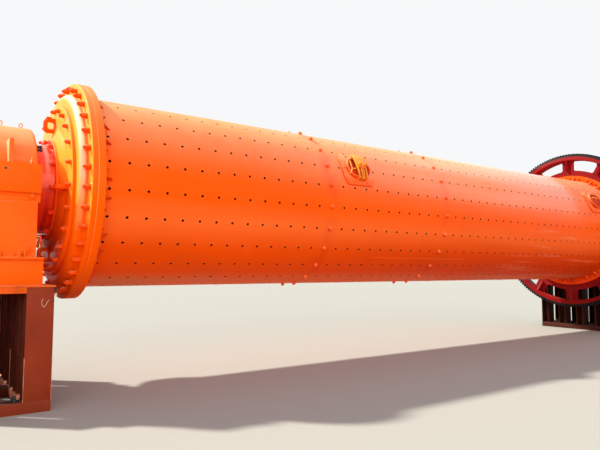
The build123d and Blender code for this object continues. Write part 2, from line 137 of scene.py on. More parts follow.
# Beads round the drum: offsets of their outline from where they lie, along and away from the axis
COURSE_BEAD = ((-0.024, -0.001), (-0.012, 0.005), (0.002, 0.009))
JOINT_BEAD = ((-0.012, -0.012), (-0.006, -0.004), (0.006, -0.004), (0.012, -0.012))
CARRIER_BEAD = ((-0.006, 0.011), (0.002, 0.008), (0.005, 0.0), (0.004, -0.010), (-0.006, -0.011))
FLANGE_BEAD = ((-0.012, -0.001), (-0.007, 0.006), (0.001, 0.012))

# Handles: manhole, bar radius, and the bends along the drum, up round it and high over the pad
HANDLES = (
    (0, 0.011, ((-0.173, 0.092, 0.022), (-0.173, 0.092, 0.066), (-0.184, -0.051, 0.066),
                (-0.107, -0.041, 0.066), (-0.107, -0.041, 0.022))),
    (0, 0.011, ((-0.184, -0.051, 0.066), (-0.226, -0.122, 0.066), (-0.226, -0.122, 0.026))),
    (1, 0.014, ((-0.110, 0.060, 0.022), (-0.110, 0.060, 0.075), (0.050, 0.045, 0.075),
                (0.050, 0.045, 0.022))))

# Chalk stroke's corners: along the stand and up
STROKE = ((-0.030, 0.045), (-0.045, 0.010), (-0.040, -0.030), (-0.018, -0.058), (0.006, -0.020),
          (0.034, 0.030))

# Colours laid over the finishes
# Painted sunlight, painted shade and a painted highlight on the faces at the drum's ends
SUNLIT_ORANGE = (0.98, 0.50, 0.045)
INNER_SHADE = (0.36, 0.016, 0.003)
SHOULDER_HIGHLIGHT = (0.98, 0.80, 0.58)
TOUCH_UP = (0.84, 0.078, 0.002)
# Painted shade, painted light, painted sheen and painted shadow on the drum; the haze is part dust
UNDERSIDE_SHADE = (0.52, 0.024, 0.001)
PAINTED_LIGHT_BAND = (0.98, 0.250, 0.060)
PALE_LOW_BAND = (0.80, 0.330, 0.130)
SKY_SHEEN = (0.98, 0.700, 0.560)
HAZE_AND_SHEEN = (0.98, 0.76, 0.64)
HAZE_AND_SHEEN_AT_GEAR = (0.84, 0.60, 0.66)
SHADOWED_TOP = (0.84, 0.170, 0.090)
BLOT = (0.98, 0.50, 0.36)
# Painted shade, painted light and a painted highlight on the trunnion's collar
COLLAR_BAND_SHADE = (0.40, 0.008, 0.004)
COLLAR_LIGHT = (0.90, 0.085, 0.018)
COLLAR_HIGHLIGHT = (0.98, 0.500, 0.430)
# Painted sunlight on the sides of the bearing ribs
RIB_SUNLIT_SIDE = (0.98, 0.72, 0.42)
# Painted shade on the stands
GEAR_STAND_SHADE = (0.034, 0.015, 0.012)
STAND_INNER_SHADE = (0.030, 0.009, 0.006)
GREASE = (0.013, 0.012, 0.015)
YARD_DUST = (0.55, 0.42, 0.33)

UP = Vector((0, 0, 1))
CREASE = 32.0
WELD_CREASE = 60.0


def column_x(column):
    return (column - (HOLE_COLUMNS - 1) / 2) * HOLE_PITCH


def row_angle(row):
    return FIRST_ROW + row * 360 / HOLE_ROWS


def around(x, radius, angle):
    """Point at a radius from the drum's axis; the angle counts up from the front, in degrees."""
    a = radians(angle)
    return Vector((x, -radius * cos(a), AXIS + radius * sin(a)))


def outward(angle):
    a = radians(angle)
    return Vector((0, -cos(a), sin(a)))


# Shader nodes

FLOAT, COLOUR, VECTOR = "NodeSocketFloat", "NodeSocketColor", "NodeSocketVector"
WHITE = (1.0, 1.0, 1.0, 1.0)


def put(tree, socket, value):
    """Links an output to a socket, or sets a number or a colour on it."""
    if isinstance(value, bpy.types.NodeSocket):
        tree.links.new(value, socket)
    elif isinstance(value, tuple):
        socket.default_value = (*value, 1.0)[:4]
    else:
        socket.default_value = value


def split(tree, vector):
    """X, Y and Z of a vector."""
    node = tree.nodes.new("ShaderNodeSeparateXYZ")
    tree.links.new(vector, node.inputs[0])
    return tuple(node.outputs)


def stretched(tree, vector, scale, rotation=(0.0, 0.0, 0.0)):
    node = tree.nodes.new("ShaderNodeMapping")
    node.inputs["Scale"].default_value = scale
    node.inputs["Rotation"].default_value = rotation
    tree.links.new(vector, node.inputs["Vector"])
    return node.outputs[0]


def noise(tree, vector, scale, detail, roughness):
    node = tree.nodes.new("ShaderNodeTexNoise")
    for label, value in (("Vector", vector), ("Scale", scale), ("Detail", detail), ("Roughness", roughness)):
        put(tree, node.inputs[label], value)
    return node.outputs["Fac"]


def remap(tree, value, low, high, to_low=0.0, to_high=1.0, smooth=False):
    node = tree.nodes.new("ShaderNodeMapRange")
    node.interpolation_type = "SMOOTHSTEP" if smooth else "LINEAR"
    for label, number in (("From Min", low), ("From Max", high), ("To Min", to_low), ("To Max", to_high)):
        node.inputs[label].default_value = number
    tree.links.new(value, node.inputs["Value"])
    return node.outputs["Result"]


def calculate(tree, operation, value, *others):
    """One operation on a value, or on it and the others one after another."""
    for other in others or (None,):
        node = tree.nodes.new("ShaderNodeMath")
        node.operation = operation
        put(tree, node.inputs[0], value)
        if other is not None:
            put(tree, node.inputs[1], other)
        value = node.outputs[0]
    return value


def product(tree, *values):
    return calculate(tree, "MULTIPLY", *values) if len(values) > 1 else values[0]


def layer(tree, under, over, *masks):
    """One colour laid over another where all the masks let it show."""
    node = tree.nodes.new("ShaderNodeMix")
    node.data_type = "RGBA"
    for number, value in ((0, product(tree, *masks)), (6, under), (7, over)):
        put(tree, node.inputs[number], value)
    return node.outputs[2]


def build_group(name, inputs, outputs, wire):
    """Node group with named sockets; the wire function takes its tree and inputs and gives its outputs."""
    tree = bpy.data.node_groups.new(name, "ShaderNodeTree")
    for label, value in inputs.items():
        kind = VECTOR if value is None else COLOUR if isinstance(value, tuple) else FLOAT
        socket = tree.interface.new_socket(label, in_out="INPUT", socket_type=kind)
        if value is not None:
            socket.default_value = value
    for label, kind in outputs.items():
        tree.interface.new_socket(label, in_out="OUTPUT", socket_type=kind)
    enter, leave = tree.nodes.new("NodeGroupInput").outputs, tree.nodes.new("NodeGroupOutput").inputs
    for label, value in wire(tree, enter).items():
        tree.links.new(value, leave[label])
    return tree


def wire_tone(tree, enter):
    """Cloudy change of shade in a coat of paint, with finer mottling."""
    cloud = noise(tree, enter["Vector"], enter["Cloud Scale"], 5.0, 0.6)
    fine = noise(tree, enter["Vector"], 38.0, 3.0, 0.5)
    colour = layer(tree, enter["Colour"], enter["Deep"], remap(tree, cloud, 0.50, 0.26))
    colour = layer(tree, colour, enter["Pale"], remap(tree, cloud, 0.55, 0.80))
    colour = layer(tree, colour, enter["Deep"], remap(tree, fine, 0.45, 0.75, 0.0, 0.22))
    return {"Colour": colour, "Cloud": cloud}


def wire_dust(tree, enter):
    """Pale dust that lies on faces turned upwards and in patches."""
    facing = remap(tree, split(tree, enter["Normal"])[2], 0.10, 1.0, smooth=True)
    patches = remap(tree, noise(tree, enter["Vector"], 3.1, 6.0, 0.65), 0.32, 0.68, 0.65, 1.0)
    grains = remap(tree, noise(tree, enter["Vector"], 160.0, 2.0, 0.5), 0.35, 0.65, 0.85, 1.0)
    mask = product(tree, facing, patches, grains, enter["Amount"])
    return {"Colour": layer(tree, enter["Colour"], enter["Dust"], mask), "Mask": mask}


def wire_scuffs(tree, enter):
    """Short pale scratches and rubbed spots, sparse."""
    scratched = stretched(tree, enter["Vector"], (1.5, 9.0, 14.0), (0.3, 0.5, 0.2))
    lines = remap(tree, noise(tree, scratched, 3.0, 8.0, 0.7), 0.70, 0.76)
    patches = remap(tree, noise(tree, enter["Vector"], 0.9, 3.0, 0.5), 0.52, 0.66)
    mask = product(tree, lines, patches, enter["Amount"])
    return {"Colour": layer(tree, enter["Colour"], enter["Bared"], mask), "Mask": mask}


def wire_peel(tree, enter):
    """Orange peel of sprayed enamel over slightly uneven plate."""
    peel = product(tree, noise(tree, enter["Vector"], 190.0, 2.0, 0.5), enter["Peel"])
    wave = product(tree, noise(tree, enter["Vector"], 1.6, 2.0, 0.5), enter["Wave"])
    bump = tree.nodes.new("ShaderNodeBump")
    bump.inputs["Strength"].default_value = 0.5
    bump.inputs["Distance"].default_value = 0.02
    tree.links.new(calculate(tree, "ADD", peel, wave), bump.inputs["Height"])
    return {"Normal": bump.outputs["Normal"]}


TONE = build_group("paint tone", {"Vector": None, "Colour": WHITE, "Deep": WHITE, "Pale": WHITE,
                                  "Cloud Scale": 1.2}, {"Colour": COLOUR, "Cloud": FLOAT}, wire_tone)
DUST = build_group("settled dust", {"Vector": None, "Normal": None, "Colour": WHITE,
                                    "Dust": (*YARD_DUST, 1.0), "Amount": 0.3},
                   {"Colour": COLOUR, "Mask": FLOAT}, wire_dust)
SCUFF = build_group("scuffs", {"Vector": None, "Colour": WHITE, "Bared": (0.6, 0.5, 0.45, 1.0),
                               "Amount": 0.5}, {"Colour": COLOUR, "Mask": FLOAT}, wire_scuffs)
PEEL = build_group("orange peel", {"Vector": None, "Peel": 0.04, "Wave": 0.08}, {"Normal": VECTOR}, wire_peel)


def place_group(tree, group, **values):
    """Puts a group in a material with its own values."""
    node = tree.nodes.new("ShaderNodeGroup")
    node.node_tree = group
    for label, value in values.items():
        put(tree, node.inputs[label.replace("_", " ")], value)
    return node.outputs


def new_finish(name):
    """Material, its node tree and its surface's sockets."""
    finish = bpy.data.materials.new(name)
    finish.use_nodes = True
    return finish, finish.node_tree, finish.node_tree.nodes["Principled BSDF"].inputs


def shade(colour, factor, grey=0.0):
    return tuple(min(1.0, c * factor + grey) for c in colour)


def paint(name, colour, roughness=0.3, coat=0.5, dust=0.25, scuff=0.3, cloud=1.2, deep=0.80, pale=1.12,
          specular=0.5, coat_roughness=0.08, tint=WHITE, dust_colour=YARD_DUST):
    """Enamel on steel: tone, dust, scuffs and orange peel over one colour."""
    finish, tree, surface = new_finish(name)
    where = tree.nodes.new("ShaderNodeTexCoord").outputs
    vector = where["Object"]
    tone = place_group(tree, TONE, Vector=vector, Colour=colour, Deep=shade(colour, deep),
                       Pale=shade(colour, pale, 0.01), Cloud_Scale=cloud)
    scuffed = place_group(tree, SCUFF, Vector=vector, Colour=tone["Colour"], Bared=shade(colour, 0.8, 0.25),
                          Amount=scuff)
    dusty = place_group(tree, DUST, Vector=vector, Normal=where["Normal"], Colour=scuffed["Colour"],
                        Dust=dust_colour, Amount=dust)
    bumps = place_group(tree, PEEL, Vector=vector, Peel=0.05, Wave=0.1)
    facing_up = split(tree, where["Normal"])[2]
    rough = calculate(tree, "ADD", remap(tree, tone["Cloud"], 0.3, 0.7, roughness - 0.04, roughness + 0.08),
                      product(tree, dusty["Mask"], 0.8), remap(tree, facing_up, -0.40, 0.10, 0.30, 0.0),
                      product(tree, scuffed["Mask"], 0.3))
    tree.links.new(dusty["Colour"], surface["Base Color"])
    tree.links.new(rough, surface["Roughness"])
    tree.links.new(bumps["Normal"], surface["Normal"])
    if coat:
        tree.links.new(remap(tree, facing_up, -0.45, 0.10, 0.05 * coat, coat), surface["Coat Weight"])
    surface["Coat Roughness"].default_value = coat_roughness
    surface["Specular IOR Level"].default_value = specular
    put(tree, surface["Specular Tint"], tint)
    return finish


def bare(name, colour, roughness, metallic, scale):
    """Bare or greasy metal and other plain materials, mottled."""
    finish, tree, surface = new_finish(name)
    vector = tree.nodes.new("ShaderNodeTexCoord").outputs["Object"]
    tone = place_group(tree, TONE, Vector=vector, Colour=colour, Deep=shade(colour, 0.6),
                       Pale=shade(colour, 1.3, 0.01), Cloud_Scale=scale)
    bumps = place_group(tree, PEEL, Vector=vector, Peel=0.2, Wave=0.05)
    tree.links.new(tone["Colour"], surface["Base Color"])
    rough = remap(tree, tone["Cloud"], 0.3, 0.7, roughness - 0.08, roughness + 0.1)
    tree.links.new(rough, surface["Roughness"])
    tree.links.new(bumps["Normal"], surface["Normal"])
    surface["Metallic"].default_value = metallic
    return finish


def recoat(finish, work):
    """Lays more colour over a finish: the work takes the node tree, the colour so far, the coordinates, and
    X, Y and Z of place and normal, and gives the new colour."""
    tree = finish.node_tree
    base = tree.nodes["Principled BSDF"].inputs["Base Color"]
    where = tree.nodes.new("ShaderNodeTexCoord").outputs
    place, facing = split(tree, where["Object"]), split(tree, where["Normal"])
    tree.links.new(work(tree, base.links[0].from_socket, where["Object"], place, facing), base)


def axis_distance(tree, place):
    """Distance of a place from the drum's axis."""
    _, y, z = place
    up = calculate(tree, "SUBTRACT", z, AXIS)
    return calculate(tree, "SQRT", calculate(tree, "ADD", product(tree, up, up), product(tree, y, y)))


def paint_light_on_end_faces(tree, coat, vector, place, facing):
    """Painted sunlight on the upper half of the faces that look along the drum, reaching lower further from
    the axis, with a painted highlight on the shoulder, and painted shade on the lower inner part."""
    slope = calculate(tree, "ABSOLUTE", facing[0])
    drift = remap(tree, noise(tree, vector, 1.7, 4.0, 0.6), 0.3, 0.7, -0.20, 0.20)
    height = calculate(tree, "ADD", place[2], drift)
    distance = axis_distance(tree, place)
    lower_outside = calculate(tree, "ADD", height, remap(tree, distance, 0.80, 1.35, -0.10, 0.40))
    # Painted sunlight: paler orange on the upper half, reaching lower further from the axis
    coat = layer(tree, coat, SUNLIT_ORANGE, remap(tree, slope, 0.25, 0.95),
                 remap(tree, lower_outside, AXIS - 0.40, AXIS + 0.30, smooth=True), 0.82)
    # Painted shade on the lower inner part
    coat = layer(tree, coat, INNER_SHADE, remap(tree, height, AXIS - 0.10, AXIS - 0.80, smooth=True),
                 remap(tree, distance, 1.10, 0.78, 0.0, 0.70))
    # Painted highlight on the shoulder
    shoulder = product(tree, remap(tree, distance, 1.235, 1.300), remap(tree, distance, 1.375, 1.345))
    turned_out = product(tree, remap(tree, slope, 0.15, 0.45), remap(tree, slope, 0.99, 0.85))
    return layer(tree, coat, SHOULDER_HIGHLIGHT, shoulder, turned_out,
                 remap(tree, height, AXIS - 0.55, AXIS + 0.45), 0.85)


def drum_touch_up_light_and_shade(tree, coat, vector, place, facing):
    """Marks on the drum, drawn out along it: touched-up paint round the diaphragm bolts, painted shade on
    faces turned down, a painted lighter band and a paler band below, a pale top that is part dust and part
    painted sunlight and sky sheen, thicker towards the gear end, a painted shadow on the last course's top,
    and pale blots."""
    x, (_, back, up) = place[0], facing
    along, facing_up = partial(remap, tree, x), partial(remap, tree, up)
    drawn = stretched(tree, vector, (0.10, 1.5, 1.5))
    streaks = remap(tree, noise(tree, drawn, 2.4, 4.0, 0.55), 0.30, 0.70, 0.65, 1.35)
    touched = noise(tree, vector, 2.6, 2.0, 0.4)
    for column in DIAPHRAGM_COLUMNS:
        off = calculate(tree, "ABSOLUTE", calculate(tree, "SUBTRACT", x, column_x(column)))
        coat = layer(tree, coat, TOUCH_UP, remap(tree, off, 0.17, 0.06),
                     remap(tree, touched, 0.48, 0.60, 0.0, 0.55))
    # Painted shade on faces turned down, deeper towards the gear end
    coat = layer(tree, coat, UNDERSIDE_SHADE, facing_up(0.05, -0.75), along(-5.0, 3.0, 0.0, 0.62))
    # Painted light: a lighter streaked band on faces turned a little down
    coat = layer(tree, coat, PAINTED_LIGHT_BAND, facing_up(-0.10, -0.30), facing_up(-0.60, -0.38), streaks,
                 along(-6.0, 3.0, 0.45, 0.32))
    # A paler streaked band on faces turned almost straight down
    coat = layer(tree, coat, PALE_LOW_BAND, facing_up(-0.84, -0.92), streaks, along(-6.5, 4.0, 0.50, 0.20))
    # Painted shadow on the last course: the sheen and haze fade out where it begins
    out_of_shadow = along(*LAST_COURSE_SHADOW_EDGE, 1.0, 0.25)
    # Painted sheen: a pale sky reflection on faces turned a little up, more towards the gear end
    coat = layer(tree, coat, SKY_SHEEN, facing_up(-0.02, 0.24), facing_up(0.78, 0.36), streaks,
                 out_of_shadow, along(-4.5, 2.0, 0.0, 0.13))
    # Pale top, part dust and part painted sunlight and sky sheen, thicker towards the gear end and on faces
    # turned to the front
    haze_and_sheen = layer(tree, HAZE_AND_SHEEN, HAZE_AND_SHEEN_AT_GEAR, along(1.0, 3.8))
    thickness = product(tree, along(-4.5, 3.5, 0.10, 0.66), out_of_shadow,
                        remap(tree, back, -0.1, 0.5, 1.0, 0.25))
    coat = layer(tree, coat, haze_and_sheen, facing_up(0.12, 0.95), thickness, streaks)
    # Painted shadow: a redder top on the last course
    coat = layer(tree, coat, SHADOWED_TOP, facing_up(0.15, 0.65), along(*LAST_COURSE_SHADOW_EDGE, 0.0, 0.42))
    blots = remap(tree, noise(tree, drawn, 5.0, 3.0, 0.5), 0.56, 0.66, 0.0, 0.22)
    return layer(tree, coat, BLOT, along(0.5, 4.5), facing_up(0.2, -0.2, 0.2, 1.0), blots)


def paint_light_on_collar(tree, coat, vector, place, facing):
    """Painted light and shade on the trunnion's collar: painted orange light on its upper part, with a
    painted pale highlight on a band round its middle, and painted shade on that band below.
    """
    from_middle, z = calculate(tree, "ABSOLUTE", place[0]), place[2]
    band = product(tree, remap(tree, from_middle, 6.905, 6.922), remap(tree, from_middle, 6.975, 6.955))
    # Painted shade on the band
    band_shaded = layer(tree, coat, COLLAR_BAND_SHADE, band, 0.60)
    # Painted orange light above the axis, with a painted highlight on the band
    lit = layer(tree, COLLAR_LIGHT, COLLAR_HIGHLIGHT, band, remap(tree, z, AXIS + 0.02, AXIS + 0.46))
    return layer(tree, band_shaded, lit, remap(tree, z, AXIS - 0.35, AXIS + 0.10), 0.75)


def paint_sun_on_ribs(tree, coat, vector, place, facing):
    """Painted sunlight: pale sides on the ribs that stand on the bearing hoods."""
    side_on = remap(tree, calculate(tree, "ABSOLUTE", facing[0]), 0.7, 0.9)
    standing_out = remap(tree, axis_distance(tree, place), 0.803, 0.810)
    above = remap(tree, place[2], AXIS + 0.185, AXIS + 0.195)
    return layer(tree, coat, RIB_SUNLIT_SIDE, side_on, standing_out, above, 0.85)


def paint_shade_on_stands(tree, coat, vector, place, facing):
    """Painted shade: dark between the posts of a stand, and a darker coat on the gear end's stand."""
    x, y, _ = place
    off_middle = calculate(tree, "SUBTRACT", calculate(tree, "ABSOLUTE", x), BEARING_MIDDLE)
    within_x = remap(tree, calculate(tree, "ABSOLUTE", off_middle), 0.488, 0.478)
    within_y = remap(tree, calculate(tree, "ABSOLUTE", y), 1.112, 1.102)
    ragged = remap(tree, noise(tree, vector, 5.0, 5.0, 0.6), 0.3, 0.7, 0.55, 0.88)
    shaded = layer(tree, coat, GEAR_STAND_SHADE, remap(tree, x, 0.0, 1.0, 0.0, 0.86))
    return layer(tree, shaded, STAND_INNER_SHADE, within_x, within_y, ragged)


def grease_teeth(tree, coat, vector, place, facing):
    """Dark grease on the gear's teeth and the outside of its rim."""
    ragged = remap(tree, noise(tree, vector, 30.0, 4.0, 0.6), 0.3, 0.7, -0.012, 0.012)
    reach = calculate(tree, "ADD", axis_distance(tree, place), ragged)
    return layer(tree, coat, GREASE, remap(tree, reach, 2.012, 2.028))


ORANGE_SHEEN = (1.0, 0.35, 0.05)
# Pale dust on faces turned up, also standing for painted sunlight on the enamels below
DUST_AND_SUNLIGHT = (0.97, 0.60, 0.26)
enamel = partial(paint, tint=ORANGE_SHEEN, dust_colour=DUST_AND_SUNLIGHT)
DRUM = enamel("drum enamel", (0.96, 0.122, 0.003), coat=0.05, dust=0.62, cloud=0.7, deep=0.88, pale=1.08,
              coat_roughness=0.14, specular=0.25)
HEAD = enamel("head enamel", (0.97, 0.142, 0.002), roughness=0.36, coat=0.08, dust=0.50, scuff=0.2, cloud=1.1,
              deep=0.88, pale=1.1, specular=0.22, coat_roughness=0.20)
# Painted shade: a darker red on the gussets behind the shell flanges
GUSSET_SHADE = enamel("gusset enamel", (0.74, 0.050, 0.001), roughness=0.45, coat=0.0, dust=0.15, cloud=4.0,
                specular=0.2)
# Painted highlight: the pale bead at each flange joint stands for light on the rounded edges
JOINT_HIGHLIGHT = paint("joint painted highlight", (0.98, 0.42, 0.14), coat=0.3, dust=0.4, scuff=0.2, cloud=5.0, deep=0.70,
                dust_colour=(0.98, 0.72, 0.44))
BOLT = enamel("bolt enamel", (0.88, 0.085, 0.001), roughness=0.34, coat=0.15, dust=0.42, scuff=0.5, cloud=6.0,
              deep=0.70, specular=0.4)
# Bearing enamel; its pale dust on faces turned up also stands for sunlight on the hoods
BEARING = paint("bearing enamel", (0.95, 0.142, 0.006), roughness=0.40, coat=0.05, dust=0.52, scuff=0.35,
                cloud=1.6, deep=0.88, coat_roughness=0.2, specular=0.4, tint=ORANGE_SHEEN,
                dust_colour=(0.98, 0.74, 0.42))
CRIMSON = paint("trunnion enamel", (0.84, 0.048, 0.010), roughness=0.22, coat=0.45, dust=0.10, scuff=0.1,
                cloud=1.4, specular=0.3, tint=(1.0, 0.3, 0.2), dust_colour=(0.9, 0.35, 0.25))
# Painted shade: the manhole covers are dark as if in the shade of their necks
COVER_SHADE = paint("cover painted shade", (0.56, 0.034, 0.005), roughness=0.45, coat=0.05, dust=0.1, scuff=0.4, cloud=3.0,
              specular=0.4, tint=ORANGE_SHEEN)
# Painted sunlight: yellow-orange with pale dust on top for the bows, clamps and handles
SUNLIT_BOW = paint("bow enamel with painted sunlight", (0.98, 0.330, 0.020), roughness=0.32, coat=0.2, dust=0.5, cloud=5.0, deep=0.70,
            specular=0.4, dust_colour=(0.98, 0.66, 0.22))
GEAR = paint("gear primer and grease", (0.250, 0.0040, 0.0060), roughness=0.5, coat=0.0, dust=0.05, scuff=0.4,
             cloud=2.0, deep=0.6, pale=1.2, specular=0.12)
OXIDE = paint("stand primer", (0.270, 0.042, 0.016), roughness=0.6, coat=0.0, dust=0.30, scuff=0.9, cloud=2.2,
              deep=0.75, pale=1.15, specular=0.12)
# Painted sunlight on edges of the feed stand
LIT_EDGE = paint("painted sunlit edge", (0.80, 0.300, 0.190), roughness=0.6, coat=0.0, dust=0.3, scuff=0.8,
              cloud=5.0, deep=0.45, specular=0.15)
# Painted reflection: orange on the stand's top rails and sole welds, for orange reflected in them
RAIL_REFLECTION = paint("stand rail painted reflection", (0.86, 0.155, 0.018), roughness=0.5, coat=0.0, scuff=0.6, cloud=3.0,
                deep=0.6, specular=0.15)
MILL_SCALE = bare("bore mill scale", (0.050, 0.022, 0.016), 0.75, 0.2, 6.0)
WHITE_METAL = bare("bush white metal", (0.52, 0.51, 0.48), 0.38, 1.0, 14.0)
STEEL = bare("bright steel", (0.48, 0.47, 0.45), 0.32, 1.0, 18.0)
DARK_STEEL = bare("dark fitting", (0.035, 0.035, 0.038), 0.45, 0.4, 20.0)
BRASS = bare("brass fitting", (0.62, 0.40, 0.10), 0.32, 1.0, 20.0)
CHALK = bare("chalk mark", (0.78, 0.66, 0.58), 0.9, 0.0, 60.0)
for finish, work in ((DRUM, drum_touch_up_light_and_shade), (HEAD, paint_light_on_end_faces), (BEARING, paint_sun_on_ribs),
                     (CRIMSON, paint_light_on_collar), (GEAR, grease_teeth), (OXIDE, paint_shade_on_stands)):
    recoat(finish, work)


# Making pieces

ops = bmesh.ops
VERT, EDGE, FACE = bmesh.types.BMVert, bmesh.types.BMEdge, bmesh.types.BMFace


def only(kind, items):
    return [item for item in items if isinstance(item, kind)]


def new_object(name, data):
    made = bpy.data.objects.new(name, data)
    bpy.context.scene.collection.objects.link(made)
    return made


def finish_piece(name, bm, finishes, body, crease=CREASE):
    """Turns a bmesh into a piece that rides a body, smooth but for its creases."""
    finishes = finishes if isinstance(finishes, (list, tuple)) else [finishes]
    mesh = as_mesh(bm, name)
    for finish in finishes:
        mesh.materials.append(finish)
    for face in mesh.polygons:
        face.use_smooth = True
    mesh.set_sharp_from_angle(angle=radians(crease))
    piece = new_object(name, mesh)
    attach(piece, body)
    return piece


def as_mesh(bm, name):
    mesh = bpy.data.meshes.new(name)
    bm.to_mesh(mesh)
    bm.free()
    return mesh


def add_mesh(bm, mesh, place):
    """Adds a copy of a mesh at a place."""
    placed = mesh.copy()
    placed.transform(place)
    bm.from_mesh(placed)
    bpy.data.meshes.remove(placed)


def bevel(bm, edges, offset, segments, **options):
    return ops.bevel(bm, geom=edges, offset=offset, affect="EDGES", segments=segments, profile=0.5,
                     material=-1, **options)["verts"]


def soften(bm, offset, segments, angle=28.0):
    """Rounds every edge sharper than an angle."""
    sharp = [edge for edge in bm.edges
             if len(edge.link_faces) == 2 and edge.calc_face_angle(0) > radians(angle)]
    bevel(bm, sharp, offset, segments, clamp_overlap=True)


def axis_radius(point):
    return hypot(point.y, point.z - AXIS)


def dress(node, finish, offset, segments=2, bands=()):
    """Merged and edge-rounded copy of a CAD node, standing for it. A band is another finish
    and the lowest and highest distance from the axis at which it lies."""
    bm = bmesh.new()
    bm.from_mesh(frame["nodes"][node].data)
    ops.remove_doubles(bm, verts=bm.verts, dist=1e-5)
    ops.dissolve_limit(bm, angle_limit=radians(0.4), verts=bm.verts, edges=bm.edges)
    soften(bm, offset, segments)
    for face in bm.faces:
        reach = [axis_radius(vert.co) for vert in face.verts]
        for number, (_, low, high) in enumerate(bands, 1):
            if low <= min(reach) and max(reach) <= high:
                face.material_index = number
    body = next(name for name, nodes in frame["record"]["behaviour"]["bodies"].items() if node in nodes)
    piece = finish_piece(node + "_dressed", bm, [finish, *(band[0] for band in bands)], body)
    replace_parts(piece, node)
    return piece


def bar(bm, size, place, offset, segments=2):
    """Rectangular bar with rounded edges, at a position or a placing matrix."""
    made = ops.create_cube(bm, size=1.0, matrix=Matrix.Diagonal((*size, 1.0)))["verts"]
    made = bevel(bm, list({edge for vert in made for edge in vert.link_edges}), offset, segments)
    place = place if isinstance(place, Matrix) else Matrix.Translation(place)
    ops.transform(bm, matrix=place, verts=made)


def standing(point, direction, spin=0.0):
    """Matrix that stands a template's Z on a direction at a point."""
    turn = Vector(direction).to_track_quat("Z", "X").to_matrix().to_4x4()
    return Matrix.Translation(point) @ turn @ Matrix.Rotation(radians(spin), 4, "Z")


def rod(bm, start, finish, radius, segments, offset=0.0):
    """Round bar between two points, ends chamfered."""
    start, finish = Vector(start), Vector(finish)
    made = ops.create_cone(bm, cap_ends=True, segments=segments, radius1=radius, radius2=radius,
                           depth=(finish - start).length)["verts"]
    if offset:
        caps = [edge for edge in {e for v in made for e in v.link_edges}
                if abs(edge.verts[0].co.z - edge.verts[1].co.z) < 1e-6]
        made = [v for v in {*made, *bevel(bm, caps, offset, 1)} if v.is_valid]
    ops.transform(bm, matrix=standing((start + finish) / 2, finish - start), verts=made)


def hex_fastener(name, flats, head, washer, stud=0.0, stud_radius=0.0):
    """Hexagon with a chamfered top on a washer, with the stud's end standing out of it."""
    bm = bmesh.new()
    rod(bm, (0, 0, -0.002), (0, 0, washer), flats * 0.68, 18, washer * 0.25)
    corner = flats / sqrt(3)
    body = ops.create_cone(bm, cap_ends=True, segments=6, radius1=corner, radius2=corner, depth=head,
                           matrix=Matrix.Translation((0, 0, washer + head / 2 - 0.001)))["verts"]
    top = max(vert.co.z for vert in body)
    rim = [edge for edge in {e for v in body for e in v.link_edges}
           if all(abs(v.co.z - top) < 1e-6 for v in edge.verts)]
    bevel(bm, rim, flats * 0.07, 1)
    if stud:
        rod(bm, (0, 0, washer + head - 0.004), (0, 0, washer + head + stud), stud_radius,
            8 if stud_radius < 0.010 else 10, stud_radius * 0.18)
    return as_mesh(bm, name)


# Fasteners' sizes: across the flats, head, washer, stud and the stud's radius
FASTENERS = {name: hex_fastener(name, *sizes) for name, sizes in {
    "diaphragm bolt": (0.055, 0.030, 0.008, 0.012, 0.017),
    "joint bolt": (0.060, 0.066, 0.008, 0.016, 0.021),
    "joint bolt head": (0.060, 0.034, 0.008),
    "carrier bolt": (0.050, 0.044, 0.008, 0.012, 0.017),
    "trunnion bolt": (0.056, 0.052, 0.008, 0.012, 0.019),
    "clamp nut": (0.050, 0.036, 0.008, 0.030, 0.014),
    "neck bolt": (0.030, 0.018, 0.004, 0.006, 0.009),
    "split bolt": (0.055, 0.036, 0.008, 0.012, 0.017),
    "hood bolt": (0.060, 0.046, 0.010, 0.034, 0.018),
    "lip bolt": (0.056, 0.026, 0.006, 0.006, 0.016),
    "foot bolt": (0.064, 0.044, 0.010, 0.022, 0.019),
    "seal bolt": (0.030, 0.018, 0.004),
    "anchor nut": (0.050, 0.028, 0.008, 0.030, 0.016)}.items()}


def scatter(name, template, places, finish, body, crease=CREASE):
    """Copies of a template at many places, as one piece."""
    bm = bmesh.new()
    for place in places:
        add_mesh(bm, template, place)
    finish_piece(name, bm, finish, body, crease)


def joined(name, shape, parts, finish, body="frame", crease=CREASE):
    """Piece of several rods or bars, each given by what its function takes after the bmesh."""
    bm = bmesh.new()
    for part in parts:
        shape(bm, *part)
    finish_piece(name, bm, finish, body, crease)


def turned(profile, closed=False):
    """Ring round the drum's axis from (x, radius) points."""
    bm = bmesh.new()
    verts = [bm.verts.new((x, 0, AXIS + radius)) for x, radius in profile]
    for a, b in zip(verts, verts[1:] + (verts[:1] if closed else [])):
        bm.edges.new((a, b))
    ops.spin(bm, geom=bm.verts[:] + bm.edges[:], cent=(0, 0, AXIS), axis=(1, 0, 0),
             angle=2 * pi, steps=144, use_merge=True, use_duplicate=False)
    ops.remove_doubles(bm, verts=bm.verts, dist=1e-5)
    ops.recalc_face_normals(bm, faces=bm.faces)
    return bm


def ring_bead(name, side, x, radius, outline, finish=None):
    """Bead round the drum, mirrored to a side, from the offsets of its outline."""
    profile = [(side * (x + along), radius + out) for along, out in outline]
    finish_piece(name, turned(profile), finish or DRUM, "drum", WELD_CREASE)


def half_round(width, height):
    """Outline of a half-round weld bead."""
    return [(width / 2 * cos(t), height * sin(t) - 0.001) for t in [pi * k / 6 for k in range(7)]]


# Drum shell: every liner bolt hole is drilled through

def extruded(bm, edges):
    """New vertices, edges and faces that grow from a run of edges."""
    grown = ops.extrude_edge_only(bm, edges=edges)["geom"]
    return only(VERT, grown), only(EDGE, grown), only(FACE, grown)


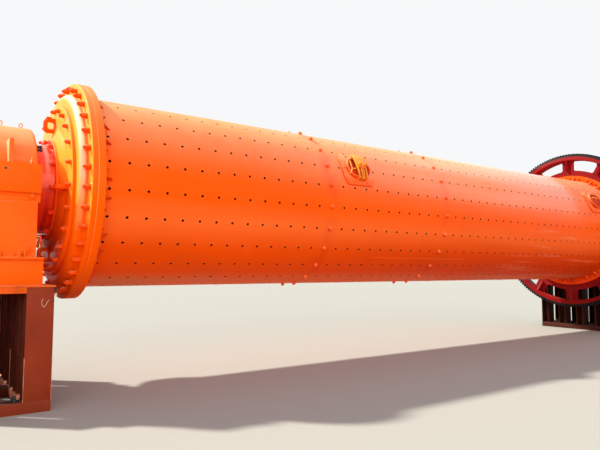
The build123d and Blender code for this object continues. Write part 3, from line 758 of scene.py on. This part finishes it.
def flat_cell(drilled, radius, wall):
    """One hole's share of the shell, laid flat: X along the drum, Y in degrees, Z radial."""
    bm = bmesh.new()
    half_x = HOLE_PITCH / 2
    quad = ops.create_grid(bm, x_segments=1, y_segments=1, size=1.0)["verts"]
    ops.scale(bm, vec=(half_x, CELL_STRIP, 1), verts=quad)
    ops.subdivide_edges(bm, edges=bm.edges[:], cuts=2)
    ops.dissolve_faces(bm, faces=bm.faces[:], use_verts=False)
    middle_verts = [v for v in bm.verts
                    if abs(abs(v.co.x) - half_x) > 1e-6 and abs(abs(v.co.y) - CELL_STRIP) > 1e-6]
    if middle_verts:
        ops.dissolve_verts(bm, verts=middle_verts)
    outline = bm.faces[:]
    ops.inset_individual(bm, faces=outline, thickness=0.0005, use_even_offset=False)
    disc = outline[0]
    spread = degrees(HOLE_RADIUS / radius)
    for vert in disc.verts:
        u, v = vert.co.x / half_x, vert.co.y / CELL_STRIP
        if abs(u) >= abs(v):
            turn = radians(45 * v / abs(u))
            turn = turn if u > 0 else pi - turn
        else:
            turn = radians(45 * u / abs(v))
            turn = pi / 2 - turn if v > 0 else turn - pi / 2
        vert.co.x, vert.co.y = HOLE_RADIUS * cos(turn), spread * sin(turn)
    hole_edges = list(disc.edges)
    if drilled:
        ops.delete(bm, geom=[disc], context="FACES_ONLY")
    for hand in (-1, 1):
        edges = [e for e in bm.edges if all(abs(v.co.y - hand * CELL_STRIP) < 1e-6 for v in e.verts)]
        for _ in range(2):
            verts, grown, _ = extruded(bm, edges)
            ops.translate(bm, vec=(0, hand * CELL_STRIP, 0), verts=verts)
            edges = [e for e in grown if abs(e.verts[0].co.y - e.verts[1].co.y) < 1e-6]
    ops.recalc_face_normals(bm, faces=bm.faces[:])
    if bm.faces[:][0].normal.z < 0:
        ops.reverse_faces(bm, faces=bm.faces[:])
    copied = ops.duplicate(bm, geom=bm.verts[:] + bm.edges[:] + bm.faces[:])["geom"]
    inner = only(FACE, copied)
    ops.translate(bm, vec=(0, 0, -wall), verts=only(VERT, copied))
    ops.reverse_faces(bm, faces=inner)
    if drilled:
        verts, _, hole_faces = extruded(bm, hole_edges)
        ops.translate(bm, vec=(0, 0, -wall), verts=verts)
        inner = inner + hole_faces
    for face in inner:
        face.material_index = 1
    ops.remove_doubles(bm, verts=bm.verts[:], dist=1e-5)
    return as_mesh(bm, "cell")


def drilled_course(name, node, first, last, start, finish, radius):
    """A rolled course of the drum wrapped from its flat cells, ends closed."""
    wall = radius - SHELL_INSIDE
    cells = {drilled: flat_cell(drilled, radius, wall) for drilled in (True, False)}
    bm = bmesh.new()
    for column in range(first, last + 1):
        for row in range(HOLE_ROWS):
            covered = row == MANHOLE_ROW and any(abs(column - m) < 1 for m in MANHOLE_COLUMNS)
            add_mesh(bm, cells[not covered], Matrix.Translation((column_x(column), row_angle(row), 0)))
    for edge_x, end_x in ((column_x(first - 0.5), start), (column_x(last + 0.5), finish)):
        edges = [e for e in bm.edges
                 if all(abs(v.co.x - edge_x) < 1e-5 for v in e.verts) and len(e.link_faces) == 1]
        if abs(edge_x - end_x) > 1e-5:
            verts, grown, faces = extruded(bm, edges)
            for vert in verts:
                vert.co.x = end_x
            for face in faces:
                face.material_index = 1 if face.calc_center_median().z < -wall / 2 else 0
            edges = [e for e in grown if all(abs(v.co.x - end_x) < 1e-6 for v in e.verts)]
        outer = [e for e in edges if all(v.co.z > -wall / 2 for v in e.verts)]
        for vert in extruded(bm, outer)[0]:
            vert.co.z = -wall
    for vert in bm.verts:
        vert.co = around(vert.co.x, radius + vert.co.z, vert.co.y)
    ops.remove_doubles(bm, verts=bm.verts[:], dist=1e-4)
    ops.recalc_face_normals(bm, faces=bm.faces[:])
    piece = finish_piece(name, bm, [DRUM, MILL_SCALE], "drum", 30)
    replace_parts(piece, node)


course_columns = [0, *[int(seam + 0.5) for seam in SEAM_COLUMNS], int(END_COURSE_COLUMN + 0.5)]
for number, (first, following) in enumerate(zip(course_columns, course_columns[1:]), 1):
    drilled_course(f"drilled_course_{number}", f"shell_course_{number}", first, following - 1,
                   column_x(first - 0.5) if first else -JOINT_FACE, column_x(following - 0.5), SHELL_RADIUS)
drilled_course("drilled_end_course", "discharge_course", course_columns[-1], HOLE_COLUMNS - 1,
               column_x(END_COURSE_COLUMN), JOINT_FACE, END_COURSE_RADIUS)

for number, column in enumerate(SEAM_COLUMNS, 1):
    ring_bead(f"seam_bead_{number}", 1, column_x(column), SHELL_RADIUS,
              half_round(SEAM_BEAD_WIDTH, SEAM_BEAD_HEIGHT))
ring_bead("seam_bead_end", 1, column_x(END_COURSE_COLUMN), SHELL_RADIUS, COURSE_BEAD)

scatter("diaphragm_bolts", FASTENERS["diaphragm bolt"],
        [standing(around(column_x(column), SHELL_RADIUS - 0.001, row_angle(row)), outward(row_angle(row)),
                  row * 17) for column in DIAPHRAGM_COLUMNS for row in range(HOLE_ROWS)], DRUM, "drum")

plate_seams = []
seam_stops = [-FLANGE_FACE, *(column_x(column) for column in (*SEAM_COLUMNS, END_COURSE_COLUMN)), FLANGE_FACE]
for number, (start, stop) in enumerate(zip(seam_stops, seam_stops[1:])):
    seam_angle = row_angle(5 + 8 * (number % 3)) + 7.5
    radius = (SHELL_RADIUS if number <= len(SEAM_COLUMNS) else END_COURSE_RADIUS) - PLATE_BEAD_RADIUS / 2
    ends = [around(x, radius, seam_angle) for x in (start + PLATE_BEAD_GAP, stop - PLATE_BEAD_GAP)]
    plate_seams.append((*ends, PLATE_BEAD_RADIUS, 10, 0.002))
joined("plate_seams", rod, plate_seams, DRUM, "drum", WELD_CREASE)

# Ends of the drum

def corner(x, radius, x_way, radius_way, rounding, steps=3):
    """Points of a rounded outer corner, from its x side to its radius side."""
    middle = (x - x_way * rounding, radius - radius_way * rounding)
    return [(middle[0] + x_way * rounding * sin(t), middle[1] + radius_way * rounding * cos(t))
            for t in [pi / 2 * k / steps for k in range(steps + 1)]]


def head_ring(side):
    """Flanged head with its broad rounded shoulder."""
    shift = GEAR_WEB if side > 0 else 0.0
    back, front = JOINT_FACE + shift, HEAD_FLANGE_FACE + shift
    inside, wall_back = SHOULDER_RADIUS - HEAD_WALL, SHOULDER_FACE - HEAD_WALL
    rounding = min(SHOULDER_ROUND, SHOULDER_FACE - front - SHOULDER_FILLET - 0.001)
    profile = [(back, inside), *corner(back, FLANGE_RADIUS, -1, 1, LIP)[::-1],
               *corner(front, FLANGE_RADIUS, 1, 1, LIP), (front, SHOULDER_RADIUS + SHOULDER_FILLET),
               (front + SHOULDER_FILLET / 4, SHOULDER_RADIUS + SHOULDER_FILLET / 4),
               (front + SHOULDER_FILLET, SHOULDER_RADIUS),
               *corner(SHOULDER_FACE, SHOULDER_RADIUS, 1, 1, rounding, 8),
               (SHOULDER_FACE, HEAD_BORE), (wall_back, HEAD_BORE)]
    if wall_back > back:
        profile.append((wall_back, inside))
    return turned([(side * x, radius) for x, radius in profile], closed=True)


def bolt_ring(name, kind, finish, x, way, radius, first_angle, count, spin, body="drum"):
    """Ring of fasteners round the axis, each spun a little further than the last."""
    scatter(name, FASTENERS[kind], [standing(around(x, radius, first_angle + 360 / count * k), way, spin * k)
                                    for k in range(count)], finish, body)


for end, side in ENDS.items():
    web = GEAR_WEB if side > 0 else 0.0
    facing = Vector((side, 0, 0))
    dress(f"{end}_shell_flange", HEAD if side < 0 else BOLT, LIP, 3, bands=[(GUSSET_SHADE, 1.320, 1.4555)])
    # Pale bead along the joint: a painted highlight
    ring_bead(f"{end}_joint_line", side, JOINT_FACE + web, FLANGE_RADIUS, JOINT_BEAD, JOINT_HIGHLIGHT)
    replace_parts(finish_piece(f"{end}_head_ring", head_ring(side), HEAD, "drum", 40), f"{end}_head")
    dress(f"{end}_carrier", HEAD, 0.006, 3)
    dress(f"{end}_carrier_cone", HEAD, 0.004, bands=[(MILL_SCALE, 0.5, 0.521)])
    ring_bead(f"{end}_carrier_weld", side, CARRIER_FACE, CONE_BASE_RADIUS, CARRIER_BEAD, HEAD)
    dress(f"{end}_lifting_lugs", BOLT, 0.006, 3)
    dress(f"{end}_trunnion", CRIMSON, 0.006, 3,
          bands=[(HEAD, 0.690, 0.710), (STEEL, 0.550, 0.5605), (MILL_SCALE, 0.380, 0.4005)])
    bolt_ring(f"{end}_joint_nuts", "joint bolt", BOLT, side * (HEAD_FLANGE_FACE + web), facing,
              OUTER_BOLT_RADIUS, FIRST_ROW, OUTER_BOLTS, 7)
    bolt_ring(f"{end}_joint_heads", "joint bolt head", BOLT, side * FLANGE_FACE, -facing,
              OUTER_BOLT_RADIUS + 0.01, FIRST_ROW, OUTER_BOLTS, 11)
    bolt_ring(f"{end}_carrier_bolts", "carrier bolt", BOLT, side * CARRIER_FACE, facing, INNER_BOLT_RADIUS,
              INNER_BOLT_ANGLE, INNER_BOLTS, 13)
    bolt_ring(f"{end}_trunnion_bolts", "trunnion bolt", CRIMSON, side * TRUNNION_FLANGE_FACE, facing,
              TRUNNION_BOLT_RADIUS, TRUNNION_BOLT_ANGLE, TRUNNION_BOLTS, 19)
    ring_bead(f"{end}_flange_weld", side, FLANGE_FACE, SHELL_RADIUS if side < 0 else END_COURSE_RADIUS,
              FLANGE_BEAD)

# Girth gear
for half in ("upper", "lower"):
    dress(f"girth_gear_{half}", GEAR, 0.004, 1)

# Manholes
for name in ("manhole_1", "manhole_2"):
    dress(f"{name}_pad", DRUM, 0.006)
    dress(f"{name}_neck", DRUM, 0.006, 3)
# Covers painted dark for the shade inside the necks
dress("manhole_1_cover", COVER_SHADE, 0.006)
dress("manhole_2_cover", COVER_SHADE, 0.006)
dress("manhole_1_bridges", SUNLIT_BOW, 0.004)
MANHOLE_ANGLE = row_angle(MANHOLE_ROW)


def on_manhole(number, x, up, high):
    """Point over a manhole: x along the drum, up around it, high above its pad."""
    base = (SHELL_RADIUS, END_COURSE_RADIUS)[number] + PAD_THICKNESS
    return around(column_x(MANHOLE_COLUMNS[number]) + x, base + high, MANHOLE_ANGLE + degrees(up / base))


def bent_bar(bm, points, radius, segments=10):
    """Round bar through points, with a ball in each bend."""
    for start, stop in zip(points, points[1:]):
        rod(bm, start, stop, radius, segments)
    for point in points[1:-1]:
        ops.create_uvsphere(bm, u_segments=segments, v_segments=6, radius=radius,
                            matrix=Matrix.Translation(point))


clamp = bmesh.new()
for bow_x in BOW_PLACES:
    place = standing(on_manhole(0, bow_x, 0, BOW_RISE), outward(MANHOLE_ANGLE))
    bar(clamp, (0.085, 0.060, 0.010), place @ Matrix.Translation((0, 0, 0.004)), 0.002, 1)
    add_mesh(clamp, FASTENERS["clamp nut"], place @ Matrix.Translation((0, 0, 0.009)))
    rod(clamp, on_manhole(0, bow_x, 0, 0.022), on_manhole(0, bow_x, 0, BOW_RISE), 0.014, 12)
finish_piece("manhole_1_clamps", clamp, SUNLIT_BOW, "drum")

handles = bmesh.new()
for number, radius, bends in HANDLES:
    bent_bar(handles, [on_manhole(number, *bend) for bend in bends], radius)
finish_piece("manhole_handles", handles, SUNLIT_BOW, "drum")

scatter("manhole_pad_bolts", FASTENERS["neck bolt"],
        [standing(on_manhole(number, x, up, -0.001), outward(MANHOLE_ANGLE + up * 42), 23 * x)
         for number in (0, 1) for x, up in PAD_BOLT_PLACES], DRUM, "drum")

# Joint of the gear halves
scatter("gear_split_bolts", FASTENERS["split bolt"],
        [standing((x, hand * radius, AXIS + up * SPLIT_RIB), up * UP, 31 * radius)
         for hand in (-1, 1) for radius in SPLIT_BOLT_RADII for x in SPLIT_BOLT_X for up in (-1, 1)],
        GEAR, "drum")

# Bearings and stands

def eye_bolt(name, ring, bar_radius):
    """Lifting eye on a collar, standing along Z."""
    bm = bmesh.new()
    ops.create_circle(bm, segments=8, radius=bar_radius,
                      matrix=Matrix.Translation((ring, 0, 0)) @ Matrix.Rotation(pi / 2, 4, "X"))
    ops.spin(bm, geom=bm.verts[:] + bm.edges[:], cent=(0, 0, 0), axis=(0, 1, 0), angle=2 * pi,
             steps=20, use_merge=True, use_duplicate=False)
    ops.remove_doubles(bm, verts=bm.verts, dist=1e-5)
    ops.rotate(bm, cent=(0, 0, 0), matrix=Matrix.Rotation(pi / 2, 3, "Z"), verts=bm.verts)
    ops.translate(bm, vec=(0, 0, ring + 0.018), verts=bm.verts)
    ops.recalc_face_normals(bm, faces=bm.faces)
    rod(bm, (0, 0, -0.004), (0, 0, 0.022), ring * 0.75, 14, 0.003)
    return as_mesh(bm, name)


hood_eye = eye_bolt("hood eye", 0.030, 0.009)


def corner_bolts(name, kind, finish, middle, place, spin, sideways=False):
    """Fasteners at a bearing's four corners, standing up or looking out to its sides."""
    x, y, z = place
    scatter(name, FASTENERS[kind],
            [standing((middle + along * x, hand * y, z), (0, hand, 0) if sideways else UP,
                      spin if sideways else spin * along)
             for along in (-1, 1) for hand in (-1, 1)], finish, "frame")


def row_y(row):
    return POST_Y * (1 - 2 * row / (POST_ROWS - 1))


def post_faces(middle):
    """Middle of the front and back flange of each post, but for the two outermost rows' outer ones."""
    return [(middle + hand * POST_X, row_y(row) + facing * POST_WIDTH / 2)
            for row in range(POST_ROWS) for hand in (-1, 1) for facing in (-1, 1)
            if (row, facing) not in ((0, 1), (POST_ROWS - 1, -1))]


def lit_edge_strips(middle):
    """Thin pale strips painted where sunlight falls: at the foot of every second post and on the inner edges
    of the long sills.
    """
    bm = bmesh.new()
    for row in range(0, POST_ROWS, 2):
        y = row_y(row) - POST_WIDTH / 2 + 0.010
        for x in (-POST_X, POST_X):
            for along in (-1, 1):
                reach = 0.47 + 0.03 * sin(7 * y + 3 * along)
                bar(bm, (0.006, 0.024, reach),
                    (middle + x + along * (POST_LENGTH / 2 - 0.001), y, SILL_TOP + reach / 2), 0.002, 1)
    for hand in (-1, 1):
        inner = middle + hand * (POST_X - POST_LENGTH / 2)
        bar(bm, (0.040, 1.82, 0.006), (inner + hand * 0.020, 0, SILL_TOP + 0.002), 0.002, 1)
        bar(bm, (0.004, 1.82, 0.100), (inner - hand * 0.001, 0, SILL_TOP - 0.052), 0.001, 1)
    return bm


def drain_cock(end, side):
    """Drain pipe with its nuts, bent down from the bearing body, and its lever."""
    outlet = Vector((side * DRAIN_OUTLET[0], *DRAIN_OUTLET[1:]))
    bend = outlet - Vector((side * 0.055, 0, 0))
    drain = bmesh.new()
    bent_bar(drain, [outlet, bend, bend - 0.120 * UP], 0.017)
    rod(drain, outlet - Vector((side * 0.002, 0, 0)), outlet - Vector((side * 0.026, 0, 0)), 0.030, 6, 0.004)
    rod(drain, bend - 0.050 * UP, bend - 0.085 * UP, 0.029, 6, 0.004)
    rod(drain, bend - 0.115 * UP, bend - 0.135 * UP, 0.025, 12, 0.003)
    finish_piece(f"{end}_drain_cock", drain, BRASS, "frame")
    lever = bmesh.new()
    rod(lever, bend + Vector((0, -0.010, -0.068)), bend + Vector((0, -0.055, -0.068)), 0.009, 10)
    bar(lever, (0.022, 0.012, 0.085), bend + Vector((0, -0.055, -0.040)), 0.003)
    finish_piece(f"{end}_drain_lever", lever, CRIMSON, "frame")


for end, side in ENDS.items():
    middle = side * BEARING_MIDDLE
    near = side * BEARING_NEAR
    inward = Vector((-side, 0, 0))
    for part, *look in (("bearing_cap", BEARING, 0.006, 3), ("bearing_body", BEARING, 0.005),
                        ("bush", WHITE_METAL, 0.003), ("seal_ring", CRIMSON, 0.004),
                        ("sole_block", BEARING, 0.006), ("stand_sill", OXIDE, 0.004),
                        ("stand_posts", OXIDE, 0.004), ("stand_rails", RAIL_REFLECTION, 0.003)):
        dress(f"{end}_{part}", *look)
    corner_bolts(f"{end}_hood_bolts", "hood bolt", BEARING, middle, HOOD_BOLT_AT, 20)
    corner_bolts(f"{end}_lip_bolts", "lip bolt", BEARING, middle, LIP_BOLT_AT, 14, sideways=True)
    corner_bolts(f"{end}_foot_bolts", "foot bolt", BEARING, middle, FOOT_BOLT_AT, 25)
    scatter(f"{end}_hood_eyes", hood_eye,
            [standing((middle + side * x, 0, HOOD_TOP - 0.001), UP, 35) for x in HOOD_EYE_X],
            BEARING, "frame", 40)
    bolt_ring(f"{end}_seal_bolts", "seal bolt", CRIMSON, near - side * 0.025, inward, SEAL_BOLT_RADIUS,
              SEAL_BOLT_ANGLE, SEAL_BOLTS, 9, "frame")
    corner_bolts(f"{end}_anchor_nuts", "anchor nut", DARK_STEEL, middle, ANCHOR_NUT_AT, 33)
    joined(f"{end}_stand_welds", rod, [((x - POST_LENGTH / 2, y, z), (x + POST_LENGTH / 2, y, z), 0.006, 8)
                                       for x, y in post_faces(middle) for z in (SILL_TOP, STAND_TOP - 0.020)],
           OXIDE, crease=WELD_CREASE)
    # Pale strips painted where sunlight falls on the feed stand's edges
    if side < 0:
        finish_piece(f"{end}_bared_edges", lit_edge_strips(middle), LIT_EDGE, "frame", WELD_CREASE)
    joined(f"{end}_sill_tie", bar, [((2 * POST_X - POST_LENGTH - 0.008, POST_WIDTH, SILL_TOP - 0.006),
                                     (middle, 0, SILL_TOP / 2 - 0.003), 0.004)], OXIDE)
    corners = [(middle + along * SOLE_X, hand * SOLE_Y, STAND_TOP) for along in (-1, 1) for hand in (-1, 1)]
    joined(f"{end}_sole_welds", rod, [(corners[start], corners[stop], 0.007, 8)
                                      for start, stop in ((0, 2), (0, 1), (1, 3), (2, 3))],
           RAIL_REFLECTION, crease=WELD_CREASE)
    # Dark discs on the bearing's sides: painted shade standing for the tapped holes
    x, y, z = TAPPED_HOLE_AT
    joined(f"{end}_tapped_hole_shades", rod,
           [((middle + side * x, hand * y, z), (middle + side * x, hand * (y + 0.001), z), 0.015, 14)
            for hand in (-1, 1)], DARK_STEEL)
    probes = []
    for step in (0.0, 0.055):
        foot = around(near + side * 0.002, PROBE_RADIUS, PROBE_ANGLE - degrees(step / PROBE_RADIUS))
        probes += [(foot, foot + 0.050 * inward, 0.017, 12, 0.003),
                   (foot + 0.030 * inward, foot + 0.058 * inward, 0.023, 6, 0.003)]
    joined(f"{end}_temperature_probes", rod, probes, DARK_STEEL)
    drain_cock(end, side)
    x, y, z = JACKING_LUG_AT
    joined(f"{end}_jacking_lugs", bar, [((0.012, 0.034, 0.075), (middle + side * x, hand * y, z), 0.003)
                                        for hand in (-1, 1)], BEARING)

# Screw and chalk mark on the feed stand
joined("stand_screw", rod, [(STAND_SCREW - 0.018 * UP, STAND_SCREW - 0.090 * UP, 0.009, 12),
                            (STAND_SCREW - 0.028 * UP, STAND_SCREW - 0.044 * UP, 0.019, 6, 0.002)],
       DARK_STEEL)
joined("stand_screw_tip", rod, [(STAND_SCREW - 0.088 * UP, STAND_SCREW - 0.125 * UP, 0.011, 12, 0.004)],
       CHALK)
stroke = [CHALK_PLACE + Vector((along, 0, up)) for along, up in STROKE]
joined("chalk_stroke", rod, [(start, stop, 0.0026, 6) for start, stop in zip(stroke, stroke[1:])], CHALK)

# Studio: pale floor, soft daylight, camera at the picture's angle
SUN_FROM = Vector((-1.0, 0.943, 1.359))
SUN_STRENGTH = 5.4
SUN_SOFTNESS = 3.0
SUN_COLOUR = (1.0, 0.97, 0.82)
FILL_FROM = Vector((-0.35, -1.0, 0.05))
FILL_STRENGTH = 2.6
FILL_SOFTNESS = 70.0
FILL_COLOUR = (1.0, 0.86, 0.70)
SKY = (0.86, 0.93, 1.0)
SKY_STRENGTH = 0.65
BACKDROP = (0.93, 0.94, 0.95)
FLOOR_COLOUR = (0.42, 0.41, 0.39)
FLOOR_BOUNCE = (0.50, 0.20, 0.11)
FLOOR_REACH = 150.0
CAMERA_PLACE = (-8.392, -8.247, 1.691)
CAMERA_RIGHT = Vector((0.81646, -0.57738, 0.00405))
CAMERA_BACK = Vector((-0.57553, -0.81437, -0.07466))
CAMERA_LENS = 33.476


def seen(tree):
    """Whether a ray comes from the camera, straight or by way of a mirror or glass."""
    path = tree.nodes.new("ShaderNodeLightPath").outputs
    return calculate(tree, "MAXIMUM", path["Is Camera Ray"], path["Is Glossy Ray"],
                     path["Is Transmission Ray"])


def background(node, colour, strength):
    put(tree, node.inputs["Color"], colour)
    node.inputs["Strength"].default_value = strength
    return node.outputs[0]


world = bpy.data.worlds.new("studio")
bpy.context.scene.world = world
world.use_nodes = True
tree = world.node_tree
mix = tree.nodes.new("ShaderNodeMixShader")
for socket, source in zip(mix.inputs, (seen(tree), background(tree.nodes["Background"], SKY, SKY_STRENGTH),
                                       background(tree.nodes.new("ShaderNodeBackground"), BACKDROP, 1.0))):
    tree.links.new(source, socket)
tree.links.new(mix.outputs[0], tree.nodes["World Output"].inputs["Surface"])

floor_mesh = bmesh.new()
ops.create_grid(floor_mesh, x_segments=1, y_segments=1, size=FLOOR_REACH)
floor = new_object("floor", as_mesh(floor_mesh, "floor"))
floor_finish, floor_tree, floor_surface = new_finish("pale floor")
floor_colour = layer(floor_tree, FLOOR_BOUNCE, FLOOR_COLOUR, seen(floor_tree))
floor_tree.links.new(floor_colour, floor_surface["Base Color"])
floor_surface["Roughness"].default_value = 0.9
floor_surface["Specular IOR Level"].default_value = 0.1
floor.data.materials.append(floor_finish)


def daylight(name, source, strength, softness, colour):
    lamp = bpy.data.lights.new(name, "SUN")
    lamp.energy = strength
    lamp.angle = radians(softness)
    lamp.color = colour
    new_object(name, lamp).rotation_euler = source.to_track_quat("Z", "Y").to_euler()


daylight("key", SUN_FROM, SUN_STRENGTH, SUN_SOFTNESS, SUN_COLOUR)
daylight("fill", FILL_FROM, FILL_STRENGTH, FILL_SOFTNESS, FILL_COLOUR)

camera = bpy.data.cameras.new("camera")
camera.lens = CAMERA_LENS
camera.sensor_width = 36.0
camera.clip_start, camera.clip_end = 0.1, 300.0
camera_object = new_object("camera", camera)
right = CAMERA_RIGHT.normalized()
back = CAMERA_BACK.normalized()
turn = Matrix((right, back.cross(right).normalized(), back)).transposed()
camera_object.matrix_world = Matrix.Translation(CAMERA_PLACE) @ turn.to_4x4()
bpy.context.scene.camera = camera_object
bpy.context.scene.view_settings.view_transform = "Standard"

bpy.context.view_layer.update()
